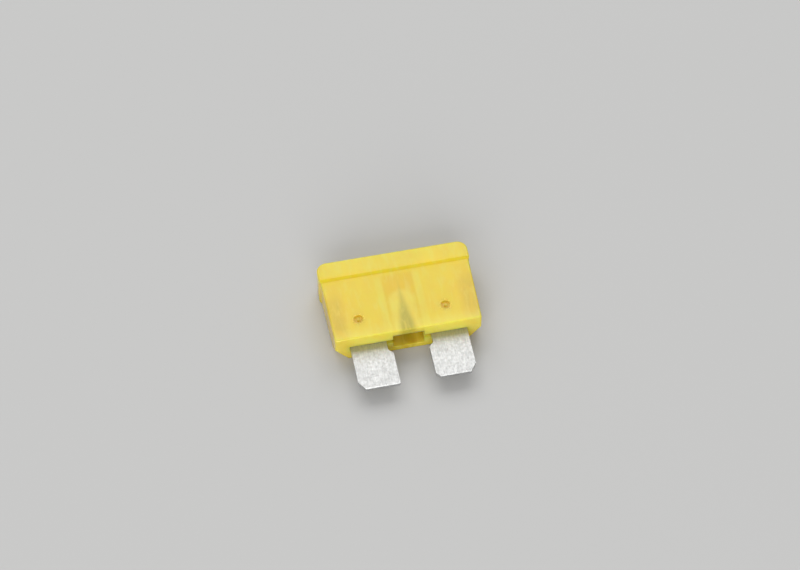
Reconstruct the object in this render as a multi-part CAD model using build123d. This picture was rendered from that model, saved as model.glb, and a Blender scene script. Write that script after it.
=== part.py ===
from build123d import *

import os
from math import radians, tan

# Blade fuse with an open foot: a translucent moulded housing staked onto one stamped
# zinc element. Lengths are in millimetres and angles in degrees. Every shape is made
# in the fuse's own frame: X across both blades, Y from the housing's foot up to its
# head, Z through the thickness, with the element's mid-plane at Z = 0. The finished
# pieces are then laid on their back with the origin under the middle of the fuse.

# ---- Housing, outside --------------------------------------------------------------
housing_height = 11.9         # foot to the top of the head
head_width = 19.75
head_thickness = 5.0
head_height = 2.5             # full-thickness band at the top
head_corner_radius = 1.3
ledge_height = 0.45           # slope from the head in to the body
ledge_step = 0.12             # head to body, front and back
side_step = 0.2               # head to body, at each end
face_draft = 0.5              # front and back of the body, narrowing to the foot
side_draft = 1.2              # ends of the body, the same
edge_radius = 0.2
bevel_across = 1.75           # lower back corners: along the foot's back edge
bevel_up = 2.1                # up the back side edge
bevel_forward = 2.4           # along the foot's side edge

# ---- Housing, inside ---------------------------------------------------------------
window_wall = 1.0             # plastic before and behind the open chamber
chamber_web = 0.9             # plastic between the chamber and each blade
chamber_roof = 2.95           # solid head above the chamber
chamber_draft = 0.7
chamber_roof_radius = 0.5
slot_clearance = 0.06         # between the element and its slots, all round
probe_depth = 2.95            # test pockets, from the top of the head to the blades
probe_width = 2.8
probe_thickness = 1.1
probe_corner_radius = 0.2

# ---- Stakes ------------------------------------------------------------------------
stake_height = 2.75           # above the foot
stake_inset = 1.93            # in from a blade's outer edge
stake_hole_radius = 0.6
stake_clearance = 0.04
stake_mark_radius = 0.56      # ring that the staking punch leaves in each face
stake_mark_core = 0.2
stake_mark_depth = 0.22
stake_mark_offset = -0.33     # the punches stood a little to the left

# ---- Element -----------------------------------------------------------------------
blade_spread = 15.15          # outer edge to outer edge
blade_width = 5.25
blade_length = 6.4            # below the foot
blade_thickness = 0.65
root_width = 4.65             # narrower blade inside the housing and just below it
root_drop = 1.25              # how far the narrow root reaches below the foot
tip_outer_across = 0.8        # corner cuts at the tips
tip_outer_up = 1.1
tip_right_inner = 0.55
tip_left_inner = 0.12
tip_bevel = 0.12              # coined lead-in on both faces of each tip
link_thickness = 0.42
link_gap = 0.3                # between the link's legs and the chamber's sides
link_height = 6.15            # top of the link's arch above the foot
link_crown = 1.0              # height of metal in the crown of the arch
link_slit = 1.15              # slit between the legs, under the crown
link_slit_foot = 2.05         # the same slit at its open end
link_foot = 0.9               # lower end of the legs above the foot
bridge_height = 1.35          # tab that joins each leg to its blade

# ---- Worked out --------------------------------------------------------------------
ledge_top = housing_height - head_height
ledge_bottom = ledge_top - ledge_height
body_width = head_width - 2 * side_step
body_thickness = head_thickness - 2 * ledge_step
face_slope = tan(radians(face_draft))
side_slope = tan(radians(side_draft))
foot_half_width = body_width / 2 - ledge_bottom * side_slope
foot_half_thickness = body_thickness / 2 - ledge_bottom * face_slope

blade_outer = blade_spread / 2
blade_inner = blade_outer - blade_width
root_inner = blade_outer - root_width
root_center = (blade_outer + root_inner) / 2
shoulder = blade_width - root_width
blade_top = housing_height - probe_depth
stake_x = blade_outer - stake_inset

chamber_half_width = root_inner - chamber_web
chamber_thickness = 2 * (foot_half_thickness - window_wall)
chamber_height = housing_height - chamber_roof
leg_half_width = chamber_half_width - link_gap
bridge_top = link_foot + bridge_height
slot_thickness = blade_thickness + 2 * slot_clearance

lay_down = Location((0, (blade_length - housing_height) / 2, head_thickness / 2))


def level(height, up=False):
    """A plane across the fuse at a height above the foot."""
    return Plane(origin=(0, height, 0), x_dir=(1, 0, 0), z_dir=(0, 1 if up else -1, 0))


def both_sides(shape):
    """The shape and its mirror image across the middle of the fuse."""
    return shape + mirror(shape, about=Plane.YZ)


# ---- Housing -----------------------------------------------------------------------
def head_block():
    block = extrude(level(housing_height) * Rectangle(head_width, head_thickness), head_height)
    top_corners = block.edges().filter_by(Axis.Z).group_by(Axis.Y)[-1]
    return fillet(top_corners, head_corner_radius)


def ledge_slope():
    upper = level(ledge_top) * Rectangle(head_width, head_thickness)
    lower = level(ledge_bottom) * Rectangle(body_width, body_thickness)
    return loft([upper, lower], ruled=True)


def body_block():
    upper = level(ledge_bottom) * Rectangle(body_width, body_thickness)
    foot = level(0) * Rectangle(2 * foot_half_width, 2 * foot_half_thickness)
    return loft([upper, foot], ruled=True)


def corner_bevel():
    """Slab that takes off one lower back corner, along the plane through three points."""
    on_foot_back = Vector(foot_half_width - bevel_across, 0, -foot_half_thickness)
    on_foot_side = Vector(foot_half_width, 0, bevel_forward - foot_half_thickness)
    on_side_back = Vector(foot_half_width + bevel_up * side_slope, bevel_up, -foot_half_thickness)
    along = on_foot_side - on_foot_back
    outward = (on_side_back - on_foot_back).cross(along)
    cut = Plane(origin=on_foot_back, x_dir=along, z_dir=outward)
    reach = 4 * head_thickness
    return extrude(cut * Rectangle(reach, reach), reach / 2)


def rounded_shell():
    """Outside of the housing, with every edge rounded except those of the ledge."""
    solid = head_block() + ledge_slope() + body_block() - both_sides(corner_bevel())
    on_ledge = solid.edges().filter_by_position(Axis.Y, ledge_bottom - 0.01, ledge_top + 0.01)
    return fillet(solid.edges() - on_ledge, edge_radius)


def chamber():
    """The open chamber that the link stands in, drafted from its mouth to its roof."""
    mouth = Rectangle(2 * chamber_half_width, chamber_thickness)
    room = extrude(level(0, up=True) * mouth, chamber_height, taper=chamber_draft)
    return fillet(room.faces().sort_by(Axis.Y)[-1].edges(), chamber_roof_radius)


def blade_slot():
    """Slot for the right-hand blade, with the probe pocket above it."""
    width = root_width + 2 * slot_clearance
    depth = blade_top + slot_clearance
    slot = extrude(level(0, up=True) * Pos(root_center, 0) * Rectangle(width, slot_thickness), depth)
    mouth = RectangleRounded(probe_width, probe_thickness, probe_corner_radius)
    pocket = extrude(level(housing_height) * Pos(root_center, 0) * mouth, probe_depth)
    return slot + pocket


def bridge_slot():
    """Slot that lets the link's bridges pass through both webs from the foot."""
    outline = Rectangle(2 * root_center, slot_thickness)
    return extrude(level(0, up=True) * outline, bridge_top + slot_clearance)


def stake_peg():
    """Plastic that the staking punch drives through the blade's hole."""
    place = Pos(stake_x, stake_height, 0)
    return place * Cylinder(stake_hole_radius - stake_clearance, 2 * slot_thickness)


def stake_marks():
    """Ring-shaped dents of the staking punches in both faces, over both stakes."""
    ring = Circle(stake_mark_radius) - Circle(stake_mark_core)
    face = foot_half_thickness + stake_height * face_slope
    dent = extrude(ring, edge_radius + stake_mark_depth)
    dents = Part()
    for side in (-1, 1):
        spot = Pos(side * stake_x + stake_mark_offset, stake_height, face - stake_mark_depth)
        dents += spot * dent
    return dents + mirror(dents, about=Plane.XY)


def housing():
    hollows = chamber() + both_sides(blade_slot()) + bridge_slot()
    return rounded_shell() - hollows + both_sides(stake_peg()) - stake_marks()


# ---- Element -----------------------------------------------------------------------
def blade_outline(inner_cut):
    """The right-hand blade, with its narrow root, its shoulder and its cut tip."""
    tip = -blade_length
    return make_face(
        Polyline(
            (root_inner, blade_top),
            (root_inner, -root_drop),
            (blade_inner, -root_drop - shoulder),
            (blade_inner, tip + inner_cut),
            (blade_inner + inner_cut, tip),
            (blade_outer - tip_outer_across, tip),
            (blade_outer, tip + tip_outer_up),
            (blade_outer, blade_top),
            close=True,
        )
    )


def blade(inner_cut):
    plate = extrude(blade_outline(inner_cut), blade_thickness / 2, both=True)
    tip_face = plate.faces().sort_by(Axis.Y)[0]
    long_edges = tip_face.edges().filter_by(Axis.X)
    plate = chamfer(long_edges, tip_bevel)
    hole = Pos(stake_x, stake_height, 0) * Cylinder(stake_hole_radius, 2 * blade_thickness)
    return plate - hole


def link_slit_outline():
    """Slit between the link's legs: round at the crown and wider at its open end."""
    slit_top = link_height - link_crown - link_slit / 2
    taper = make_face(
        Polyline(
            (-link_slit_foot / 2, link_foot),
            (link_slit_foot / 2, link_foot),
            (link_slit / 2, slit_top),
            (-link_slit / 2, slit_top),
            close=True,
        )
    )
    return taper + Pos(0, slit_top) * Circle(link_slit / 2)


def link():
    """Inverted U in the open chamber, with a bridge from each leg to its blade."""
    shoulder_height = link_height - leg_half_width
    leg_length = shoulder_height - link_foot
    legs = Pos(0, link_foot + leg_length / 2) * Rectangle(2 * leg_half_width, leg_length)
    crown = Pos(0, shoulder_height) * Circle(leg_half_width)
    bridges = Pos(0, link_foot + bridge_height / 2) * Rectangle(2 * root_inner, bridge_height)
    outline = legs + crown + bridges - link_slit_outline()
    return extrude(outline, link_thickness / 2, both=True)


def fuse_element():
    right = blade(tip_right_inner)
    left = mirror(blade(tip_left_inner), about=Plane.YZ)
    return right + left + link()


# ---- Write the pieces --------------------------------------------------------------
pieces = {
    "housing": housing(),
    "fuse_element": fuse_element(),
}

os.makedirs("parts", exist_ok=True)
for name, piece in pieces.items():
    export_step(lay_down * piece, f"parts/{name}.step")
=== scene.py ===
import math

import bpy
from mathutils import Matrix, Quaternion, Vector


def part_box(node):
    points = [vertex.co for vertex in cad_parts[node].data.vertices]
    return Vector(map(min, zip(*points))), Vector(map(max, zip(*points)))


# Blade fuse with a translucent housing and a stamped zinc element. Lengths are in metres
# unless a name says otherwise, in the fuse's own frame: X across both blades, Y from the
# blade tips to the head, Z up through the thickness.

MM = 0.001

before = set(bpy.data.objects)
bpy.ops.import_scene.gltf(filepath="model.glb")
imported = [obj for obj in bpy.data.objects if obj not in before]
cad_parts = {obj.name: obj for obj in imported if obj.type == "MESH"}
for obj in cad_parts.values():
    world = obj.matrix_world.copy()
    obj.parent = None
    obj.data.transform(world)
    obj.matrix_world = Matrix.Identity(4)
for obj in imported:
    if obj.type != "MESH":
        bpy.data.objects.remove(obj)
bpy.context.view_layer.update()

housing_low, housing_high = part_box("housing")
element_low, element_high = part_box("fuse_element")
foot_y = housing_low[1]
side_x = housing_high[0]
mid_z = (element_low[2] + element_high[2]) / 2

# ---- Sizes that repeat the fuse's own ------------------------------------------------
stake_x = 5.645 * MM
stake_y = foot_y + 2.75 * MM
punch_offset = -0.33 * MM            # the punch marks stand a little left of the stakes
head_back_edge_y = foot_y + 9.45 * MM
ledge_y = foot_y + 9.2 * MM
foot_back_edge_z = mid_z - 2.302 * MM

blade_outer = 7.575 * MM
blade_root_inner = 2.925 * MM
blade_top_y = foot_y + 8.95 * MM
chamber_half_width = 2.025 * MM
link_half_width = 1.725 * MM
link_shoulder_y = foot_y + 4.425 * MM
slit_top_y = foot_y + 5.15 * MM
slit_apex = 0.22 * MM                # half the slit's width at its top
slit_spread = 0.19                   # what that half width gains for each length down

# ---- Studio --------------------------------------------------------------------------
camera_azimuth = math.radians(-11.56)
camera_elevation = math.radians(56.77)
camera_roll = math.radians(0.134)
camera_distance = 322.8 * MM
camera_aim = Vector((0.535 * MM, foot_y + 8.255 * MM, mid_z))
lens_mm = 112.5
sensor_mm = 36.0

floor_half = 3.0                     # half the floor's side
world_strength = 0.49


# ---- Node helpers --------------------------------------------------------------------
class Finish:
    """A new material with its surface shader, and short calls that add nodes to it."""

    def __init__(self, name):
        self.material = bpy.data.materials.new(name)
        self.material.use_nodes = True
        self.tree = self.material.node_tree
        self.tree.nodes.clear()
        self.shader = self.tree.nodes.new("ShaderNodeBsdfPrincipled")
        output = self.tree.nodes.new("ShaderNodeOutputMaterial")
        self.join(self.shader.outputs["BSDF"], output.inputs["Surface"])
        self.place = self.tree.nodes.new("ShaderNodeTexCoord").outputs["Object"]

    def join(self, source, target):
        self.tree.links.new(source, target)

    def feed(self, socket, value):
        """Joins a node's output to a socket, or writes a plain value on it."""
        if isinstance(value, bpy.types.NodeSocket):
            self.join(value, socket)
        else:
            socket.default_value = value

    def steady(self, **values):
        """Writes values that are the same all over on the surface shader's own sockets."""
        for name, value in values.items():
            self.shader.inputs[name.replace("_", " ")].default_value = value

    def part_of(self, vector, name):
        node = self.tree.nodes.new("ShaderNodeSeparateXYZ")
        self.join(vector, node.inputs["Vector"])
        return node.outputs[name]

    def axis(self, name):
        """Place along one axis of the fuse's frame."""
        return self.part_of(self.place, name)

    def facing(self, name):
        """One part of the direction that the surface faces."""
        return self.part_of(self.tree.nodes.new("ShaderNodeNewGeometry").outputs["Normal"], name)

    def calc(self, operation, a, b=0.0):
        node = self.tree.nodes.new("ShaderNodeMath")
        node.operation = operation
        self.feed(node.inputs[0], a)
        self.feed(node.inputs[1], b)
        return node.outputs["Value"]

    def length(self, a, b):
        """Length of the hypotenuse over sides a and b."""
        squares = self.calc("ADD", self.calc("MULTIPLY", a, a), self.calc("MULTIPLY", b, b))
        return self.calc("SQRT", squares)

    def ramp(self, value, low, high, out_low=0.0, out_high=1.0):
        """Smooth step of value from low to high."""
        node = self.tree.nodes.new("ShaderNodeMapRange")
        node.interpolation_type = "SMOOTHSTEP"
        self.feed(node.inputs["Value"], value)
        node.inputs["From Min"].default_value = low
        node.inputs["From Max"].default_value = high
        node.inputs["To Min"].default_value = out_low
        node.inputs["To Max"].default_value = out_high
        return node.outputs["Result"]

    def below(self, value, limit, soft):
        """1 while value is under the limit, fading to 0 over a stretch of soft around it."""
        return self.ramp(value, limit - soft / 2, limit + soft / 2, 1.0, 0.0)

    def blend(self, share, first, second):
        """Colour that goes from first to second as share goes from 0 to 1."""
        node = self.tree.nodes.new("ShaderNodeMix")
        node.data_type = "RGBA"
        self.feed(node.inputs["Factor"], share)
        self.feed(node.inputs["A"], first)
        self.feed(node.inputs["B"], second)
        return node.outputs["Result"]

    def noise(self, grain_mm, detail=3.0, rough=0.55, stretch=(1, 1, 1), distort=0.0):
        """Noise from 0 to 1 whose grains are about grain_mm across, over stretch."""
        scaled = self.tree.nodes.new("ShaderNodeVectorMath")
        scaled.operation = "MULTIPLY"
        self.join(self.place, scaled.inputs[0])
        scaled.inputs[1].default_value = stretch
        node = self.tree.nodes.new("ShaderNodeTexNoise")
        self.join(scaled.outputs["Vector"], node.inputs["Vector"])
        node.inputs["Scale"].default_value = 1 / (grain_mm * MM)
        node.inputs["Detail"].default_value = detail
        node.inputs["Roughness"].default_value = rough
        node.inputs["Distortion"].default_value = distort
        return node.outputs["Fac"]

    def bump(self, height, distance_mm, under=None):
        """Relief of a height from 0 to 1 over distance_mm, on top of another relief."""
        node = self.tree.nodes.new("ShaderNodeBump")
        node.inputs["Strength"].default_value = 1.0
        node.inputs["Distance"].default_value = distance_mm * MM
        self.join(height, node.inputs["Height"])
        if under is not None:
            self.join(under, node.inputs["Normal"])
        return node.outputs["Normal"]


# ---- Plastic -------------------------------------------------------------------------
# Tones of the plastic; all but head, cloud, flow and scuff are painted light and shade seen through
# it.
tones = {
    "bare": (0.78, 0.59, 0.05, 1),          # painted shade: ends of the housing, with no metal behind, darker from the shade seen through them
    # Painted light: brighter where the blades behind the plastic send light back through it.
    "over_blade": (1.0, 0.73, 0.04, 1),
    "web": (1.0, 0.78, 0.07, 1),            # solid plastic beside the chamber
    "window": (0.92, 0.64, 0.02, 1),        # painted shade over the chamber above the link
    # Painted light: brighter where the link behind the plastic sends light back through it.
    "link": (0.99, 0.77, 0.09, 1),
    "slit": (0.52, 0.47, 0.05, 1),          # painted shade: dark gap between the link's legs
    "head": (1.0, 0.76, 0.06, 1),
    "band": (1.0, 0.72, 0.02, 1),           # painted shade across the blades' top ends, up to the ledge
    # Painted light: the foot lit through the plastic.
    "foot": (1.0, 0.85, 0.16, 1),
    # Painted amber shade at the foot's back edge by the floor and along the side walls.
    "amber_shade": (0.88, 0.56, 0.02, 1),
    "cloud": (0.97, 0.68, 0.045, 1),
    "flow": (1.0, 0.82, 0.12, 1),
    "scuff": (0.70, 0.42, 0.03, 1),
}


def near_punch_mark(finish, inner, outer):
    """1 close to either punch mark and 0 away from both, by distance in the XY plane."""
    shifted = finish.calc("SUBTRACT", finish.axis("X"), punch_offset)
    across = finish.calc("SUBTRACT", finish.calc("ABSOLUTE", shifted), stake_x)
    up = finish.calc("SUBTRACT", finish.axis("Y"), stake_y)
    return finish.ramp(finish.length(across, up), inner, outer, 1.0, 0.0)


def over_link(finish, across, up):
    """1 over the link's legs and its round crown."""
    above_shoulder = finish.calc("MAXIMUM", finish.calc("SUBTRACT", up, link_shoulder_y), 0.0)
    reach = finish.length(across, above_shoulder)
    return finish.ramp(reach, link_half_width - 0.5 * MM, link_half_width + 0.3 * MM, 1.0, 0.0)


def over_slit(finish, across, up):
    """Nearly 1 over the slit between the legs, which widens down to the foot."""
    down = finish.calc("SUBTRACT", slit_top_y, up)
    half_width = finish.calc("ADD", finish.calc("MULTIPLY", down, slit_spread), slit_apex)
    inside = finish.calc("SUBTRACT", half_width, across)
    return finish.ramp(inside, -0.45 * MM, 0.65 * MM, 0.0, 0.9)


def painted_rim_shade(finish, up):
    """Share of painted amber shade: most at the foot's back edge near the floor, fading to the front
    and to the head.
    """
    near_floor = finish.ramp(finish.axis("Z"), mid_z - 2.3 * MM, mid_z - 0.2 * MM, 0.7, 0.0)
    near_foot = finish.ramp(up, foot_y + 0.5 * MM, foot_y + 3.0 * MM, 1.0, 0.0)
    return finish.calc("MULTIPLY", near_floor, near_foot)


def painted_see_through_light(finish):
    """Painted light and shade: colour of the plastic by what lies behind it (blades, chamber, link or
    nothing), lighter over blades and link, darker over bare ends, chamber and slit, lighter at the
    foot.
    """
    across = finish.calc("ABSOLUTE", finish.axis("X"))
    up = finish.axis("Y")
    lighter_higher_up = finish.ramp(up, foot_y + 4.5 * MM, foot_y + 8.0 * MM, 0.0, 0.8)
    painted_foot_light = finish.ramp(up, foot_y + 0.2 * MM, foot_y + 2.0 * MM, 0.55, 0.0)
    over_band = finish.ramp(up, blade_top_y - 0.9 * MM, blade_top_y)
    over_head = finish.ramp(up, ledge_y, ledge_y + 0.9 * MM)
    # Painted amber shade along the side walls.
    side_rim_shade = finish.ramp(across, side_x - 0.75 * MM, side_x - 0.35 * MM, 0.0, 0.25)

    # Painted light and shade: each blend below lightens or darkens the plastic for the light that the
    # parts behind it would send through it.
    tone = finish.blend(lighter_higher_up, tones["bare"], tones["over_blade"])
    tone = finish.blend(finish.below(across, blade_outer, 1.5 * MM), tone, tones["over_blade"])
    tone = finish.blend(finish.below(across, blade_root_inner, 0.4 * MM), tone, tones["web"])
    tone = finish.blend(finish.below(across, chamber_half_width, 0.4 * MM), tone, tones["window"])
    tone = finish.blend(over_link(finish, across, up), tone, tones["link"])
    tone = finish.blend(painted_foot_light, tone, tones["foot"])
    tone = finish.blend(over_slit(finish, across, up), tone, tones["slit"])
    tone = finish.blend(over_band, tone, tones["band"])
    tone = finish.blend(over_head, tone, tones["head"])
    tone = finish.blend(painted_rim_shade(finish, up), tone, tones["amber_shade"])
    return finish.blend(side_rim_shade, tone, tones["amber_shade"])


def housing_plastic():
    """Clear yellow plastic that scatters light, with flow streaks, scuffed punch marks, and painted
    light and shade from the parts behind it.
    """
    finish = Finish("Housing_Plastic")
    finish.steady(
        IOR=1.5,
        Specular_IOR_Level=0.35,
        Transmission_Weight=0.3,
        Subsurface_Weight=1.0,
        Subsurface_Radius=(1.0, 0.75, 0.2),
        Subsurface_Scale=1.4 * MM,
    )
    clouds = finish.noise(1.8, detail=3.0, stretch=(1, 0.5, 1), distort=0.6)
    flow = finish.noise(0.7, detail=4.0, stretch=(1, 0.3, 1), distort=0.4)
    scuff = finish.calc(
        "MULTIPLY",
        near_punch_mark(finish, 0.5 * MM, 1.15 * MM),
        finish.ramp(finish.noise(0.22), 0.42, 0.6),
    )
    tone = painted_see_through_light(finish)
    tone = finish.blend(finish.ramp(clouds, 0.42, 0.70, 0.0, 0.45), tone, tones["cloud"])
    tone = finish.blend(finish.ramp(flow, 0.46, 0.70, 0.0, 0.45), tone, tones["flow"])
    tone = finish.blend(finish.calc("MULTIPLY", scuff, 0.5), tone, tones["scuff"])
    finish.join(tone, finish.shader.inputs["Base Color"])

    satin = finish.ramp(finish.noise(0.5, detail=5.0), 0.3, 0.7, 0.10, 0.2)
    roughness = finish.calc("ADD", satin, finish.calc("MULTIPLY", scuff, 0.25))
    finish.join(roughness, finish.shader.inputs["Roughness"])

    waves = finish.bump(finish.noise(1.4, detail=1.0), 0.02)
    finish.join(finish.bump(scuff, 0.012, waves), finish.shader.inputs["Normal"])
    return finish.material


# ---- Zinc ----------------------------------------------------------------------------
rolled_dark = (0.43, 0.435, 0.43, 1)
rolled_pale = (0.57, 0.57, 0.56, 1)
rolled_patch = (0.42, 0.425, 0.42, 1)
# Sheared edge tones: the edges' own finish, made paler as a painted highlight.
sheared_and_lit_dark = (0.49, 0.49, 0.485, 1)
sheared_and_lit_pale = (0.60, 0.60, 0.59, 1)


def stamped_zinc():
    """Zinc sheet with its rolling grain along the blades, and sheared edges painted paler: partly
    their own finish, partly a painted highlight.
    """
    finish = Finish("Stamped_Zinc")
    finish.steady(Metallic=1.0)
    grain = finish.noise(0.12, detail=5.0, rough=0.7, stretch=(1, 0.12, 1))
    patches = finish.noise(0.3, detail=6.0)
    shear = finish.noise(0.09, detail=3.0, stretch=(1, 1, 0.15))
    on_edge = finish.ramp(finish.calc("ABSOLUTE", finish.facing("Z")), 0.3, 0.6, 1.0, 0.0)

    rolled = finish.blend(finish.ramp(grain, 0.3, 0.7), rolled_dark, rolled_pale)
    rolled = finish.blend(finish.ramp(patches, 0.45, 0.75, 0.0, 0.2), rolled, rolled_patch)
    sheared_and_lit = finish.blend(finish.ramp(shear, 0.35, 0.65), sheared_and_lit_dark, sheared_and_lit_pale)
    finish.join(finish.blend(on_edge, rolled, sheared_and_lit), finish.shader.inputs["Base Color"])

    dull = finish.ramp(patches, 0.3, 0.7, 0.42, 0.56)
    roughness = finish.calc("SUBTRACT", dull, finish.calc("MULTIPLY", on_edge, 0.08))
    finish.join(roughness, finish.shader.inputs["Roughness"])

    lines = finish.bump(grain, 0.004)
    pits = finish.bump(finish.noise(0.35, detail=4.0), 0.006, lines)
    finish.join(pits, finish.shader.inputs["Normal"])
    return finish.material


# ---- Floor ---------------------------------------------------------------------------
def floor_paper():
    """Plain pale matt paper."""
    finish = Finish("Pale_Floor")
    finish.steady(Base_Color=(0.52, 0.52, 0.515, 1), Roughness=0.9, Specular_IOR_Level=0.2)
    return finish.material


def add_floor():
    """Floor that the fuse lies on: it touches the head's back edge and the foot's."""
    slope = foot_back_edge_z / (head_back_edge_y - foot_y)
    outline = ((-1, -1), (1, -1), (1, 1), (-1, 1))
    corners = [
        (x * floor_half, y * floor_half, (head_back_edge_y - y * floor_half) * slope)
        for x, y in outline
    ]
    mesh = bpy.data.meshes.new("floor")
    mesh.from_pydata(corners, [], [(0, 1, 2, 3)])
    mesh.materials.append(floor_paper())
    floor = bpy.data.objects.new("floor", mesh)
    bpy.context.scene.collection.objects.link(floor)


# ---- Light and camera ----------------------------------------------------------------
def place_around(thing, aim, azimuth, elevation, distance):
    """Puts a lamp or camera at a direction and distance from aim, facing it.

    Azimuth 0 is at -Y. Returns the thing's turn, so that a caller can add a roll to it.
    """
    back = Vector((
        math.sin(azimuth) * math.cos(elevation),
        -math.cos(azimuth) * math.cos(elevation),
        math.sin(elevation),
    ))
    thing.location = aim + back * distance
    thing.rotation_mode = "QUATERNION"
    thing.rotation_quaternion = (-back).to_track_quat("-Z", "Y")
    bpy.context.scene.collection.objects.link(thing)
    return thing.rotation_quaternion.copy()


def add_softbox(name, azimuth_deg, elevation_deg, distance, width, depth, power):
    """Rectangular soft lamp that faces the middle of the fuse, with its power in watts."""
    lamp = bpy.data.lights.new(name, "AREA")
    lamp.shape = "RECTANGLE"
    lamp.size = width
    lamp.size_y = depth
    lamp.energy = power
    light = bpy.data.objects.new(name, lamp)
    middle = Vector((0, 0, mid_z))
    place_around(light, middle, math.radians(azimuth_deg), math.radians(elevation_deg), distance)


def add_world():
    world = bpy.data.worlds.new("Studio")
    bpy.context.scene.world = world
    world.use_nodes = True
    background = world.node_tree.nodes["Background"]
    background.inputs["Color"].default_value = (1.0, 1.0, 1.0, 1)
    background.inputs["Strength"].default_value = world_strength


def add_camera():
    data = bpy.data.cameras.new("camera")
    data.lens = lens_mm
    data.sensor_width = sensor_mm
    data.clip_start = 0.01
    data.clip_end = 20.0
    camera = bpy.data.objects.new("camera", data)
    turn = place_around(camera, camera_aim, camera_azimuth, camera_elevation, camera_distance)
    camera.rotation_quaternion = turn @ Quaternion((0, 0, 1), camera_roll)
    bpy.context.scene.camera = camera


def paint(node, material):
    """Gives a CAD piece its one material."""
    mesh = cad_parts[node].data
    mesh.materials.clear()
    mesh.materials.append(material)


# ---- Put together --------------------------------------------------------------------
add_camera()
add_world()
add_floor()
add_softbox(
    "key_softbox", azimuth_deg=176, elevation_deg=51, distance=0.80, width=0.90, depth=0.60, power=3.6
)
add_softbox(
    "front_fill", azimuth_deg=-15, elevation_deg=26, distance=0.90, width=0.80, depth=0.60, power=6.3
)

paint("housing", housing_plastic())
paint("fuse_element", stamped_zinc())

bpy.context.scene.view_settings.view_transform = "Standard"
